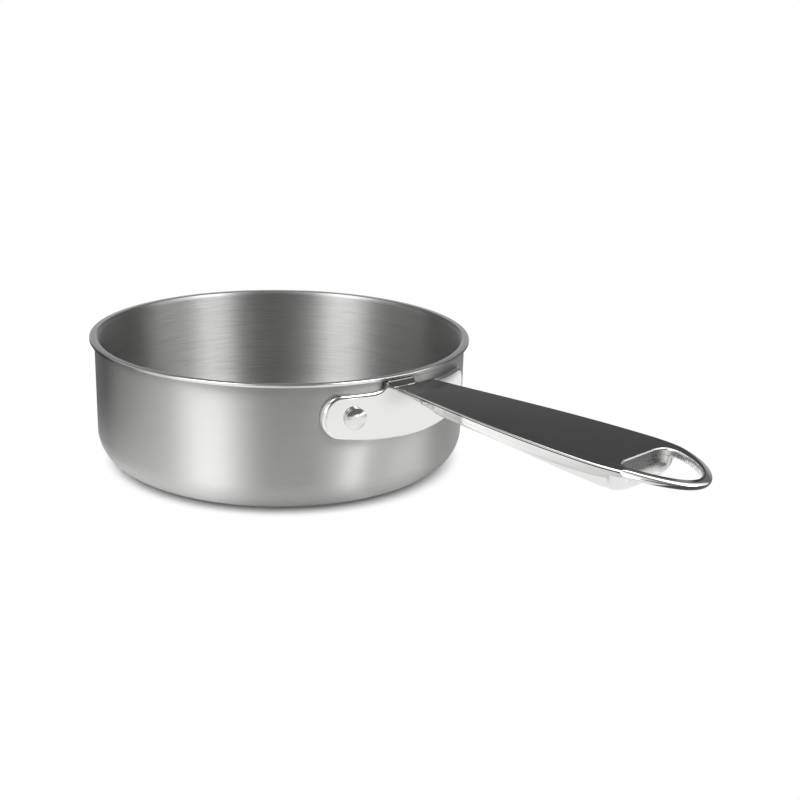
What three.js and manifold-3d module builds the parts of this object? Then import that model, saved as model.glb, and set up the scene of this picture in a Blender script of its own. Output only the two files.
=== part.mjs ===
// A one-handled straight-sided pan: three bonded plies, a riveted bracket plate and a hollow polished handle.
// Millimetres, +Z up. The origin is on the pan's axis at the underside of the base. The handle runs along +X.
import * as THREE from 'three';
import { mergeVertices } from 'three/addons/utils/BufferGeometryUtils.js';
import Module from 'manifold-3d';

const wasm = await Module();
wasm.setup();

// Pan body
const panHeight = 69.3;
const wallRadius = 101.5; // outside of the wall
const cornerRadius = 17.5; // outside, between base and wall
const outerPly = 0.5;
const corePly = 1.5;
const innerPly = 0.5;
const bondGap = 0.05; // between one ply and the next
const lipOverhang = 2.5; // how far the lip stands out past the wall
const lipBend = 1.0; // outer ply's turn under the lip
const rimRound = 1.5; // inner ply's turn over the rim

// Bracket plate on the wall
const plateGap = 0.3; // between wall and plate
const plateThickness = 2.5;
const plateHalfWidth = 49.8; // straight across, from the handle's middle to a wing's end
const plateHeight = 26.8; // at the middle
const wingHeight = 22.8; // where a wing's rounded end begins
const wingRound = 8.3; // length of a wing's rounded end
const plateStep = 1.0; // top of the plate below top of the handle
const tongueHeight = 4.8; // above the top of the plate
const tongueLeft = 17.6; // the tongue stands off-centre
const tongueRight = 0.2;
const tongueSweep = 8.5; // width of the hollow sweep at each side of the tongue
const tongueSweepHeight = 4.2;

// Handle
const handleDrop = 5.7; // top of the handle below the rim
const weldGap = 0.3; // between plate and handle, and between bar and shell
const handleLength = 169.1; // from the plate to the tip
const rootWidth = 25.2;
const loopWidth = 49.4;
const loopLength = 44.2; // from the handle's widest place to the tip
const loopSide = 6.1; // metal beside the hole
const loopEnd = 4.2; // metal past the end of the hole
const loopDroop = 2.8; // the loop bends down by this much at its tip
const holeSetback = 11.2; // from the widest place to the hole
const holeCorner = 8.0;
const flareAt = 0.32; // shares of the length and width that shape the sides
const flareShare = 0.40;
const settleAt = 0.36;
const barDepth = 3.2;
const edgeRound = 0.8;
const barWall = 2.0; // sides of the bar around its hollow
const barRoof = 1.5;
const hollowStart = 36.0; // from the plate
const hollowEnd = 4.0; // solid metal left before the hole
const sideDepth = 5.5; // straight sides of bar and shell together
const rootDepth = 2.2; // handle's thickness where it meets the plate
const sweepStart = 8.0; // underside sweeps down from the root between these distances from the plate
const sweepEnd = 36.0;
const bellyStart = 46.0; // from the plate to where the shell begins to hang below its sides
const bellyDepth = 7.6; // at the nose
const bellyInset = 1.3;
const bellyPower = 3; // 2 is an ellipse in section, more is squarer
const shellFloor = 0.9;
const noseReach = 8.0; // past the start of the hole
const noseBlunt = 0.1; // share of the belly's section left at the tip
const noseFloor = 6.6; // from the top of the handle down to the nose inside the hole
const noseDrop = 2.5; // the nose slopes down by this much to its tip

// Rivets
const rivetAngle = { left: THREE.MathUtils.degToRad(-19.6), right: THREE.MathUtils.degToRad(15.5) };
const rivetRise = 15.1; // above the bottom of the plate
const shankDiameter = 5.0;
const shankClearance = 0.3;
const headDiameter = 11.4;
const headHeight = 2.8;
const headEdge = 0.7; // straight edge of a head below its dome
const innerHeadDiameter = 11.0;
const innerHeadHeight = 1.7;
const seatGap = 0.3; // under each head

// Facets
const roundSteps = 64;
const cornerSteps = 6;
const bendSteps = 2;
const curveSteps = 10;
const rivetSteps = 20;
const domeSteps = 5;
const bellySteps = 16; // across the belly
const lengthSteps = 18; // along it

// Values that follow from the sizes above
const lipRadius = wallRadius + lipOverhang;
const lipUnder = panHeight - innerPly - bondGap - outerPly;
const coreInset = outerPly + bondGap;
const linerInset = coreInset + corePly + bondGap;
const wallThickness = linerInset + innerPly;
const innerRadius = wallRadius - wallThickness;
const plateBack = wallRadius + plateGap;
const plateFace = plateBack + plateThickness;
const handleTop = panHeight - handleDrop;
const plateTop = handleTop - plateStep;
const plateBottom = plateTop - plateHeight;
const handleRoot = plateFace + weldGap;
const handleTip = plateFace + handleLength;
const loopStart = handleTip - loopLength;
const holeStart = loopStart + holeSetback;
const barUnder = handleTop - barDepth;
const shellTop = barUnder - weldGap;
const sideUnder = handleTop - sideDepth;
const bellyFrom = plateFace + bellyStart;
const noseTip = holeStart + noseReach;
const rivetHeight = plateBottom + rivetRise;
const holeRadius = shankDiameter / 2 + shankClearance;

const point = (x, y) => new THREE.Vector2(x, y);

function arc(x, y, radius, from, to, steps) {
  return new THREE.EllipseCurve(x, y, radius, radius, from, to, to < from).getPoints(steps);
}

// Closed geometry to solid and back
function solid(geometry) {
  const bare = geometry.index ? geometry.toNonIndexed() : geometry.clone();
  bare.deleteAttribute('normal');
  bare.deleteAttribute('uv');
  const merged = mergeVertices(bare, 1e-4);
  const corners = Array.from(merged.index.array);
  const triangles = [];
  for (let i = 0; i < corners.length; i += 3) {
    const [a, b, c] = corners.slice(i, i + 3);
    if (a !== b && b !== c && c !== a) triangles.push(a, b, c);
  }
  return new wasm.Manifold(new wasm.Mesh({
    numProp: 3,
    vertProperties: new Float32Array(merged.attributes.position.array),
    triVerts: new Uint32Array(triangles),
  }));
}

function geometryOf(body) {
  const { vertProperties, triVerts } = body.getMesh();
  const geometry = new THREE.BufferGeometry();
  geometry.setAttribute('position', new THREE.BufferAttribute(vertProperties, 3));
  geometry.setIndex(new THREE.BufferAttribute(triVerts, 1));
  return geometry;
}

function node(name, body, material) {
  const geometry = geometryOf(body);
  geometry.computeVertexNormals();
  const mesh = new THREE.Mesh(geometry, material);
  mesh.name = name;
  return mesh;
}

// A section turned about the Z axis
function turned(section, steps) {
  return new THREE.LatheGeometry(section, steps).rotateX(Math.PI / 2);
}

// A shape in plan, standing from one height to another
function standing(shape, bottom, top) {
  const geometry = new THREE.ExtrudeGeometry(shape, {
    depth: top - bottom, bevelEnabled: false, curveSegments: curveSteps,
  });
  return geometry.translate(0, 0, bottom);
}

// A shape seen along the X axis, its width along Y, from one distance to another
function facingX(shape, from, to) {
  const turn = new THREE.Matrix4().makeBasis(
    new THREE.Vector3(0, 1, 0), new THREE.Vector3(0, 0, 1), new THREE.Vector3(1, 0, 0),
  );
  return standing(shape, from, to).applyMatrix4(turn);
}

// A shape seen from the side, its width along X, centred on the handle's middle
function facingY(shape, width) {
  return standing(shape, -width / 2, width / 2).rotateX(Math.PI / 2);
}

// Out along the base and round the corner, at a depth into the wall
function panCurve(inset) {
  const radius = wallRadius - inset;
  const corner = cornerRadius - inset;
  return [point(0, inset), ...arc(radius - corner, cornerRadius, corner, -Math.PI / 2, 0, cornerSteps)];
}

function rivetCutter(angle) {
  const reach = lipRadius + plateThickness;
  return solid(new THREE.CylinderGeometry(holeRadius, holeRadius, reach, rivetSteps)
    .rotateZ(-Math.PI / 2)
    .translate(reach / 2 + innerRadius / 2, 0, rivetHeight)
    .rotateZ(angle));
}

function withRivetHoles(body) {
  return body.subtract(rivetCutter(rivetAngle.left)).subtract(rivetCutter(rivetAngle.right));
}

// Outer ply: base, wall and the lower half of the lip
function outerShell() {
  const bendX = wallRadius + lipBend;
  const bendZ = lipUnder - lipBend;
  return withRivetHoles(solid(turned([
    ...panCurve(0),
    ...arc(bendX, bendZ, lipBend, Math.PI, Math.PI / 2, bendSteps),
    point(lipRadius, lipUnder),
    point(lipRadius, lipUnder + outerPly),
    ...arc(bendX, bendZ, lipBend + outerPly, Math.PI / 2, Math.PI, bendSteps),
    ...panCurve(outerPly).reverse(),
  ], roundSteps)));
}

// Aluminium ply: stops below the lip, so that the steel plies seal it
function aluminiumCore() {
  const top = lipUnder - lipBend - bondGap;
  const inside = coreInset + corePly;
  return withRivetHoles(solid(turned([
    ...panCurve(coreInset),
    point(wallRadius - coreInset, top),
    point(wallRadius - inside, top),
    ...panCurve(inside).reverse(),
  ], roundSteps)));
}

// Inner ply: cooking surface and the upper half of the lip
function innerLiner() {
  const bendX = innerRadius + rimRound;
  const bendZ = panHeight - rimRound;
  return withRivetHoles(solid(turned([
    ...panCurve(linerInset),
    ...arc(bendX, bendZ, rimRound - innerPly, Math.PI, Math.PI / 2, bendSteps),
    point(lipRadius, panHeight - innerPly),
    point(lipRadius, panHeight),
    ...arc(bendX, bendZ, rimRound, Math.PI / 2, Math.PI, bendSteps),
    ...panCurve(wallThickness).reverse(),
  ], roundSteps)));
}

// Bracket plate: an outline with two rounded wings and a tongue, bent round the wall
function handlePlate() {
  const wing = plateHalfWidth - wingRound;
  const wingMiddle = plateTop - wingHeight / 2;
  const tongueTop = plateTop + tongueHeight;
  const sweepTop = plateTop + tongueSweepHeight;
  const outline = new THREE.Shape();
  outline.moveTo(-wing, plateTop - wingHeight);
  outline.quadraticCurveTo(0, 2 * plateBottom - plateTop + wingHeight, wing, plateTop - wingHeight);
  outline.absellipse(wing, wingMiddle, wingRound, wingHeight / 2, -Math.PI / 2, Math.PI / 2);
  outline.lineTo(tongueSweep - tongueRight, plateTop);
  outline.quadraticCurveTo(-tongueRight, plateTop, -tongueRight, sweepTop);
  outline.lineTo(-tongueRight, tongueTop);
  outline.lineTo(-tongueLeft, tongueTop);
  outline.lineTo(-tongueLeft, sweepTop);
  outline.quadraticCurveTo(-tongueLeft, plateTop, -tongueLeft - tongueSweep, plateTop);
  outline.lineTo(-wing, plateTop);
  outline.absellipse(-wing, wingMiddle, wingRound, wingHeight / 2, Math.PI / 2, 1.5 * Math.PI);
  const blank = solid(facingX(outline, 0, plateFace + plateThickness));
  const ring = solid(turned([
    point(plateBack, 0),
    point(plateFace, 0),
    point(plateFace, panHeight),
    point(plateBack, panHeight),
    point(plateBack, 0),
  ], roundSteps));
  return withRivetHoles(blank.intersect(ring));
}

// The handle's outline in plan, drawn in by an inset
function handleOutline(inset) {
  const root = rootWidth / 2 - inset;
  const wide = loopWidth / 2 - inset;
  const span = loopStart - handleRoot;
  const flare = handleRoot + span * flareAt;
  const settle = loopStart - span * settleAt;
  const flareWidth = root + (wide - root) * flareShare;
  const outline = new THREE.Shape();
  outline.moveTo(wallRadius, -root);
  outline.lineTo(handleRoot, -root);
  outline.bezierCurveTo(flare, -flareWidth, settle, -wide, loopStart, -wide);
  outline.absellipse(loopStart, 0, loopLength - inset, wide, -Math.PI / 2, Math.PI / 2);
  outline.bezierCurveTo(settle, wide, flare, flareWidth, handleRoot, root);
  outline.lineTo(wallRadius, root);
  return outline;
}

// The hanging hole: an ellipse inside the loop, cut straight on the pan's side, with rounded corners
function hangingHole() {
  const long = loopLength - loopEnd;
  const half = loopWidth / 2 - loopSide;
  const cornerY = half * Math.sin(Math.acos(holeSetback / long));
  const edge = Math.acos((holeSetback + holeCorner) / long);
  const hole = new THREE.Path();
  hole.moveTo(holeStart, holeCorner - cornerY);
  hole.quadraticCurveTo(holeStart, -cornerY, loopStart + long * Math.cos(edge), -half * Math.sin(edge));
  hole.absellipse(loopStart, 0, long, half, -edge, edge);
  hole.quadraticCurveTo(holeStart, cornerY, holeStart, cornerY - holeCorner);
  hole.closePath();
  return hole;
}

// The loop's gentle bend, from the hole's straight side to the tip
function drooped(geometry) {
  const place = geometry.attributes.position;
  for (let i = 0; i < place.count; i += 1) {
    const share = Math.max(0, (place.getX(i) - holeStart) / (handleTip - holeStart));
    place.setZ(i, place.getZ(i) - loopDroop * share ** 2);
  }
  return geometry;
}

// The handle's straight sides: thin at the root, sweeping down to their full depth
function handleSide() {
  const start = wallRadius;
  const rootUnder = handleTop - rootDepth;
  const from = plateFace + sweepStart;
  const to = plateFace + sweepEnd;
  const middle = (from + to) / 2;
  const side = new THREE.Shape();
  side.moveTo(start, rootUnder);
  side.lineTo(from, rootUnder);
  side.bezierCurveTo(middle, rootUnder, middle, sideUnder, to, sideUnder);
  side.lineTo(handleTip + edgeRound, sideUnder);
  side.lineTo(handleTip + edgeRound, panHeight);
  side.lineTo(start, panHeight);
  return solid(facingY(side, 2 * loopWidth));
}

// All above a curve that starts level at the hole and drops towards the tip
function bentCutter(height, drop, to) {
  const side = new THREE.Shape();
  side.moveTo(holeStart, height);
  side.quadraticCurveTo((holeStart + to) / 2, height, to, height - drop);
  side.lineTo(to, panHeight);
  side.lineTo(holeStart, panHeight);
  return solid(facingY(side, 2 * loopWidth));
}

// What the plate takes from the handle's root, with the weld gap
function rootCutter() {
  return solid(turned([
    point(0, 0),
    point(handleRoot, 0),
    point(handleRoot, panHeight),
    point(0, panHeight),
  ], roundSteps));
}

// A length of the handle's whole width, from a height up to the rim
function handleBlock(from, to, bottom) {
  return solid(new THREE.BoxGeometry(to - from, 2 * loopWidth, panHeight - bottom)
    .translate((from + to) / 2, 0, (bottom + panHeight) / 2));
}

// Bar: rounded edges, the loop and a hollow underside
function handleTopBar() {
  const outline = handleOutline(0);
  outline.holes.push(hangingHole());
  const flat = solid(new THREE.ExtrudeGeometry(outline, {
    depth: barDepth - 2 * edgeRound,
    bevelEnabled: true,
    bevelThickness: edgeRound,
    bevelSize: edgeRound,
    bevelOffset: -edgeRound,
    bevelSegments: 2,
    curveSegments: curveSteps,
  }).translate(0, 0, barUnder + edgeRound));
  const hollow = solid(standing(handleOutline(barWall), sideUnder, handleTop - barRoof))
    .intersect(handleBlock(plateFace + hollowStart, holeStart - hollowEnd, sideUnder));
  const straight = flat.intersect(handleBlock(wallRadius, holeStart, sideUnder))
    .subtract(hollow)
    .intersect(handleSide())
    .subtract(rootCutter());
  const loop = flat.intersect(handleBlock(holeStart, handleTip + edgeRound, sideUnder));
  return straight.add(solid(drooped(geometryOf(loop))));
}

// Half the handle's width at a distance from the pan's axis
function halfWidthAt(x) {
  const side = handleOutline(0).getPoints(lengthSteps).filter((p) => p.y > 0 && p.x <= handleTip);
  side.sort((a, b) => a.x - b.x);
  const after = side.findIndex((p) => p.x >= x);
  const [a, b] = [side[after - 1], side[after]];
  return a.y + (b.y - a.y) * (x - a.x) / (b.x - a.x);
}

// The shell's rounded underside between two distances, drawn in and lifted for its hollow, up to a height
function belly(from, to, inset, lift, top) {
  const corners = [];
  const triangles = [];
  const row = bellySteps + 3;
  for (let i = 0; i <= lengthSteps; i += 1) {
    const x = from + (to - from) * Math.sin(i / lengthSteps * Math.PI / 2);
    const past = Math.max(0, (x - holeStart) / noseReach);
    const nose = Math.max(noseBlunt, Math.sqrt(Math.max(0, 1 - past ** 2)));
    const share = Math.max(0, Math.min(1, (x - bellyFrom) / (holeStart - bellyFrom)));
    const half = (halfWidthAt(Math.min(x, holeStart)) - inset) * nose;
    const depth = bellyDepth * share ** 2 * nose;
    corners.push(x, half, top, x, -half, top);
    for (let k = 0; k <= bellySteps; k += 1) {
      const turn = Math.PI * k / bellySteps;
      const across = Math.sign(Math.cos(turn)) * Math.abs(Math.cos(turn)) ** (2 / bellyPower);
      const down = Math.sin(turn) ** (2 / bellyPower);
      corners.push(x, -half * across, sideUnder + lift - depth * down);
    }
  }
  for (let k = 0; k < row; k += 1) {
    const next = (k + 1) % row;
    for (let i = 0; i < lengthSteps; i += 1) {
      const [a, b, c, d] = [i * row + k, i * row + next, (i + 1) * row + next, (i + 1) * row + k];
      triangles.push(a, c, d, a, b, c);
    }
    const last = lengthSteps * row;
    if (k > 0 && next > 0) triangles.push(0, next, k, last, last + k, last + next);
  }
  const geometry = new THREE.BufferGeometry();
  geometry.setAttribute('position', new THREE.Float32BufferAttribute(corners, 3));
  geometry.setIndex(triangles);
  return solid(geometry);
}

// Shell: closes the bar from below and ends in a rounded nose, open above where the hole is
function handleShell() {
  const half = loopWidth / 2;
  const nose = new THREE.Shape();
  nose.moveTo(plateFace, -half);
  nose.lineTo(holeStart, -half);
  nose.absellipse(holeStart, 0, noseReach, half, -Math.PI / 2, Math.PI / 2);
  nose.lineTo(plateFace, half);
  const sides = solid(standing(handleOutline(0), sideUnder, shellTop))
    .intersect(solid(standing(nose, sideUnder, shellTop)))
    .intersect(handleSide());
  const hollow = belly(plateFace + hollowStart, holeStart - hollowEnd, barWall, shellFloor, handleTop);
  const hole = new THREE.Shape(hangingHole().getPoints(curveSteps));
  const pocket = bentCutter(handleTop - noseFloor, noseDrop, noseTip);
  return sides.add(belly(bellyFrom, noseTip, bellyInset, 0, sideUnder + shellFloor))
    .subtract(hollow)
    .subtract(solid(standing(hole, 0, handleTop)).intersect(pocket))
    .subtract(bentCutter(shellTop, loopDroop, handleTip));
}

// Rivet: domed head on the plate, shank through plate and wall, low head inside the pan
function rivet(angle) {
  const shank = shankDiameter / 2;
  const head = headDiameter / 2;
  const innerHead = innerHeadDiameter / 2;
  const outerSeat = plateFace + seatGap;
  const innerSeat = Math.sqrt(innerRadius ** 2 - innerHead ** 2) - seatGap;
  const dome = (radius, height, from, to) => new THREE.EllipseCurve(
    0, 0, radius, height, from, to, false,
  ).getPoints(domeSteps);
  const section = [
    ...dome(innerHead, innerHeadHeight - headEdge, -Math.PI / 2, 0)
      .map((p) => point(p.x, innerSeat - headEdge + p.y)),
    point(innerHead, innerSeat),
    point(shank, innerSeat),
    point(shank, outerSeat),
    point(head, outerSeat),
    ...dome(head, headHeight - headEdge, 0, Math.PI / 2)
      .map((p) => point(p.x, outerSeat + headEdge + p.y)),
  ];
  section[0].x = 0;
  section[section.length - 1].x = 0;
  return solid(new THREE.LatheGeometry(section, rivetSteps)
    .rotateZ(-Math.PI / 2)
    .translate(0, 0, rivetHeight)
    .rotateZ(angle));
}

const brushed = new THREE.MeshStandardMaterial({ color: 0xb9b9b7, metalness: 1, roughness: 0.38 });
const cooking = new THREE.MeshStandardMaterial({ color: 0xb4b4b2, metalness: 1, roughness: 0.32 });
const aluminium = new THREE.MeshStandardMaterial({ color: 0xc9cacb, metalness: 1, roughness: 0.5 });
const mirror = new THREE.MeshStandardMaterial({ color: 0xd6d6d4, metalness: 1, roughness: 0.08 });
const rivetSteel = new THREE.MeshStandardMaterial({ color: 0xcccbc8, metalness: 1, roughness: 0.16 });

const pan = new THREE.Group();
pan.add(
  node('outer_shell', outerShell(), brushed),
  node('aluminium_core', aluminiumCore(), aluminium),
  node('inner_liner', innerLiner(), cooking),
  node('handle_plate', handlePlate(), mirror.clone()),
  node('handle_top', handleTopBar(), mirror.clone()),
  node('handle_shell', handleShell(), mirror.clone()),
  node('rivet_left', rivet(rivetAngle.left), rivetSteel.clone()),
  node('rivet_right', rivet(rivetAngle.right), rivetSteel.clone()),
);

export default pan;
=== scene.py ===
import math

import bmesh
import bpy
from mathutils import Matrix, Vector
from mathutils.geometry import tessellate_polygon


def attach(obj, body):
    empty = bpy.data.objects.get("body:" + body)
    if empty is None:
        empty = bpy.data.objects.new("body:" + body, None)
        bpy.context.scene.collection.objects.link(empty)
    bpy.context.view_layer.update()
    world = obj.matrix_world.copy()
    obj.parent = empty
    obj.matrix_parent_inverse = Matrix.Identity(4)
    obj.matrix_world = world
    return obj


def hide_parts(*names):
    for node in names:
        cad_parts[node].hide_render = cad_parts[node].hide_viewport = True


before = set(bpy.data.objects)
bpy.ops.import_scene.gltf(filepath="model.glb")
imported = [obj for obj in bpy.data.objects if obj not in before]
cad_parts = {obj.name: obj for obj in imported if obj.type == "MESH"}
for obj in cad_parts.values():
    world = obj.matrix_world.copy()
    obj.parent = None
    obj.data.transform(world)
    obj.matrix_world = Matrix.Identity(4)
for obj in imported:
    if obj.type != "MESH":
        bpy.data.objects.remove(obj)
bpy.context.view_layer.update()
scene = bpy.context.scene
scene.view_settings.view_transform = "Standard"
mm = 0.001
print("frame loaded")


# a node socket with arithmetic: an expression on values adds its Math nodes
class Wire:
    def __init__(self, tree, socket=None):
        self.tree = tree
        self.socket = socket

    def add(self, kind, settings=None, sockets=None, out=0):
        node = self.tree.nodes.new(kind)
        for key, value in (settings or {}).items():
            if key == "stops":
                setStops(node.color_ramp, value)
            else:
                setattr(node, key, value)
        for key, value in (sockets or {}).items():
            if isinstance(value, Wire):
                self.tree.links.new(value.socket, node.inputs[key])
            else:
                node.inputs[key].default_value = value
        return Wire(self.tree, node.outputs[out] if len(node.outputs) else None)

    def output(self, name):
        return Wire(self.tree, self.socket.node.outputs[name])

    def math(self, operation, *values):
        return self.add("ShaderNodeMath", {"operation": operation}, dict(enumerate(values)))

    def __add__(self, other):
        return self.math("ADD", self, other)

    def __radd__(self, other):
        return self.math("ADD", other, self)

    def __sub__(self, other):
        return self.math("SUBTRACT", self, other)

    def __rsub__(self, other):
        return self.math("SUBTRACT", other, self)

    def __mul__(self, other):
        return self.math("MULTIPLY", self, other)

    def __rmul__(self, other):
        return self.math("MULTIPLY", other, self)

    def __truediv__(self, other):
        return self.math("DIVIDE", self, other)

    def __pow__(self, other):
        return self.math("POWER", self, other)


def grey(level):
    return (level, level, level, 1)


def setStops(ramp, stops):
    ramp.interpolation = "EASE"
    while len(ramp.elements) < len(stops):
        ramp.elements.new(1.0)
    for element, (place, level) in zip(ramp.elements, stops):
        element.position = place
        element.color = grey(level)


def newMaterial(name):
    material = bpy.data.materials.new(name)
    material.use_nodes = True
    material.node_tree.nodes.clear()
    return material, Wire(material.node_tree)


def surface(wire, shader):
    wire.add("ShaderNodeOutputMaterial", {}, {"Surface": shader})


def objectPlace(wire):
    return wire.add("ShaderNodeTexCoord").output("Object")


def parted(wire, vector):
    return wire.add("ShaderNodeSeparateXYZ", {}, {"Vector": vector})


# distance from the pan's axis
def axisDistance(parts):
    return (parts * parts + parts.output("Y") * parts.output("Y")) ** 0.5


# eases from one value to another while the given one passes between two limits
def between(wire, value, limits, to=(0.0, 1.0)):
    return wire.add("ShaderNodeMapRange", {"interpolation_type": "SMOOTHSTEP"}, {
        "Value": value, "From Min": limits[0], "From Max": limits[1], "To Min": to[0], "To Max": to[1],
    })


def blend(wire, share, low, high):
    return wire.add("ShaderNodeMix", {"data_type": "RGBA"}, {"Factor": share, 6: low, 7: high}, 2)


# steel finishes

brush = {
    "length": 45.0,  # streaks per metre along the turn
    "fine": 2600.0,  # streaks per metre across it
    "coarse": 1000.0,
    "coarseSeed": 3.7,
    "fineShare": 0.7,
    "detail": 3.0,
    "grit": 0.6,
    "roughSwing": 0.2,
    "bump": 0.05,
    "depth": 0.0002,
    "ridge": 0.95,  # slope of the ridges' upper sides
    "drawn": 0.95,  # how far the brushing draws out the gloss, and which way
    "drawnTurn": 0.25,
}

smudge = {
    "size": 38.0,
    "detail": 4.0,
    "share": 0.7,  # the rest is hairlines
    "hairline": 900.0,
    "hairlineDetail": 2.0,
    "hairlineStretch": 0.06,
    "tone": 0.35,
    "toneSwing": 0.3,
}

rail = {
    "slope": (-1.0, 0.35),  # upward slope below which the rail is painted dark as shade, at the start and at the tip
    "soft": 0.08,
}

rolled = {"colour": (0.75, 0.75, 0.76), "rough": 0.4, "roughSwing": 0.2, "seed": 9.1}

shadeRange = (0.86, 1.12)  # darkest and brightest shade of a colour


# a grain that runs round the pan's axis, on the wall and on the flat base alike
def roundGrain(wire, across, seed):
    parts = parted(wire, objectPlace(wire))
    length = brush["length"]
    vector = wire.add("ShaderNodeCombineXYZ", {}, {
        "X": parts * length + seed,
        "Y": parts.output("Y") * length,
        "Z": (parts.output("Z") - axisDistance(parts)) * across,
    })
    return wire.add("ShaderNodeTexNoise", {}, {
        "Vector": vector, "Scale": 1.0, "Detail": brush["detail"], "Roughness": brush["grit"],
    })


def tone(wire, colour, amount):
    dim, bright = ([min(1.0, c * shade) for c in colour] for shade in shadeRange)
    return blend(wire, amount, (*dim, 1), (*bright, 1))


# the brush leaves fine ridges: some of the light comes off their upper sides
def brushedSteel(name, colour, rough, upper, streak, seed):
    material, wire = newMaterial(name)
    fine = roundGrain(wire, brush["fine"], seed)
    coarse = roundGrain(wire, brush["coarse"], seed + brush["coarseSeed"])
    grain = fine * brush["fineShare"] + coarse * (1 - brush["fineShare"])
    colourNow = tone(wire, colour, 0.5 + (grain - 0.5) * (2 * streak))
    roughNow = rough + (grain - 0.5) * brush["roughSwing"]
    facing = wire.add("ShaderNodeNewGeometry").output("Normal")
    raised = wire.add("ShaderNodeVectorMath", {"operation": "ADD"}, {0: facing, 1: (0, 0, brush["ridge"])})
    raised = wire.add("ShaderNodeVectorMath", {"operation": "NORMALIZE"}, {0: raised})
    lobes = []
    for normal in (facing, raised):
        bump = wire.add("ShaderNodeBump", {}, {
            "Strength": brush["bump"], "Distance": brush["depth"], "Height": grain, "Normal": normal,
        })
        lobes.append(wire.add("ShaderNodeBsdfPrincipled", {}, {
            "Base Color": colourNow,
            "Metallic": 1.0,
            "Roughness": roughNow,
            "Anisotropic": brush["drawn"],
            "Anisotropic Rotation": brush["drawnTurn"],
            "Normal": bump,
        }))
    ridges = upper + (grain - 0.5) * streak
    surface(wire, wire.add("ShaderNodeMixShader", {}, {0: ridges, 1: lobes[0], 2: lobes[1]}))
    return material


def smudges(wire, place, seed=0.0):
    return wire.add("ShaderNodeTexNoise", {}, {
        "Vector": place, "Scale": smudge["size"] + seed, "Detail": smudge["detail"],
    })


def wornTone(wire, colour, worn):
    return tone(wire, colour, smudge["tone"] + worn * smudge["toneSwing"])


# fade is a stretch along the handle in millimetres: over it, towards the root, the colour dims to a share
# as painted shade, and the surface grows dull
def polishedSteel(name, colour, rough, seed, fade=None, share=1.0, dull=0.0, metal=1.0):
    material, wire = newMaterial(name)
    place = objectPlace(wire)
    cloud = smudges(wire, place, seed)
    stretched = wire.add("ShaderNodeMapping", {}, {
        "Vector": place, "Scale": (smudge["hairlineStretch"], 1.0, 1.0),
    })
    hairline = wire.add("ShaderNodeTexNoise", {}, {
        "Vector": stretched, "Scale": smudge["hairline"], "Detail": smudge["hairlineDetail"],
    })
    worn = cloud * smudge["share"] + hairline * (1 - smudge["share"])
    colourNow = wornTone(wire, colour, worn)
    roughNow = rough + (worn - 0.5) * rough
    if fade:
        light = between(wire, parted(wire, place), [x * mm for x in fade])
        # the painted shade towards the root
        dark = wornTone(wire, [c * share for c in colour], worn)
        colourNow = blend(wire, light, dark, colourNow)
        roughNow = roughNow + (1 - light) * dull
    surface(wire, wire.add("ShaderNodeBsdfPrincipled", {}, {
        "Base Color": colourNow, "Metallic": metal, "Roughness": roughNow,
    }))
    return material


# the loop's round rail is painted dark underneath as shade, more so towards its tip
def railSteelPaintedShade(name, colour, rough, dark, fade):
    material, wire = newMaterial(name)
    place = objectPlace(wire)
    up = parted(wire, wire.add("ShaderNodeNewGeometry").output("Normal")).output("Z")
    edge = between(wire, parted(wire, place), [x * mm for x in fade], rail["slope"])
    light = between(wire, up - edge, (-rail["soft"], rail["soft"]))
    worn = smudges(wire, place)
    low, high = (wornTone(wire, [c * share for c in colour], worn) for share in (dark, 1.0))
    surface(wire, wire.add("ShaderNodeBsdfPrincipled", {}, {
        "Base Color": blend(wire, light, low, high),
        "Metallic": 1.0,
        "Roughness": rough + (worn - 0.5) * rough,
    }))
    return material


def rolledAluminium():
    material, wire = newMaterial("rolledAluminium")
    grain = roundGrain(wire, brush["coarse"], rolled["seed"])
    surface(wire, wire.add("ShaderNodeBsdfPrincipled", {}, {
        "Base Color": tone(wire, rolled["colour"], grain),
        "Metallic": 1.0,
        "Roughness": rolled["rough"] + grain * rolled["roughSwing"],
    }))
    return material


wallSteel = brushedSteel("wallSteel", (0.65, 0.65, 0.64), rough=0.45, upper=0.35, streak=0.4, seed=0.0)
insideSteel = brushedSteel("insideSteel", (0.46, 0.46, 0.455), rough=0.38, upper=0.45, streak=1.0, seed=5.3)
lipSteel = polishedSteel("lipSteel", (0.78, 0.78, 0.77), rough=0.06, seed=2.1)
plateSteel = polishedSteel("plateSteel", (0.82, 0.82, 0.81), rough=0.06, seed=3.0)
handleSteel = polishedSteel("handleSteel", (0.80, 0.80, 0.79), rough=0.06, seed=6.0)
# the handle's top: its dark colour is a painted dark reflection, dimmed further towards the root as painted
# shade
topSteelPaintedDarkReflection = polishedSteel(
    "topSteelPaintedDarkReflection", (0.27, 0.27, 0.265), rough=0.07, seed=7.0, fade=(106, 126), share=0.45, dull=0.4)
rimSteel = polishedSteel("rimSteel", (0.82, 0.82, 0.81), rough=0.34, seed=8.0)
# the hole's walls, and the pocket's below them: dimmed to a fifth at the root end as painted shade
holeSteelPaintedShade = polishedSteel(
    "holeSteelPaintedShade", (0.88, 0.88, 0.87), rough=0.32, seed=11.0, fade=(240.5, 243.6), share=0.2)
# the tongue is painted dark as the shade it lies in under the lip
tongueSteelPaintedShade = polishedSteel("tongueSteelPaintedShade", (0.36, 0.36, 0.355), rough=0.12, seed=12.0)
# a near-black painted shade, for the lip's underside and a line along the handle's sides
paintedShade = polishedSteel("paintedShade", (0.02, 0.02, 0.02), rough=0.6, seed=4.0, metal=0.0)
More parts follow.
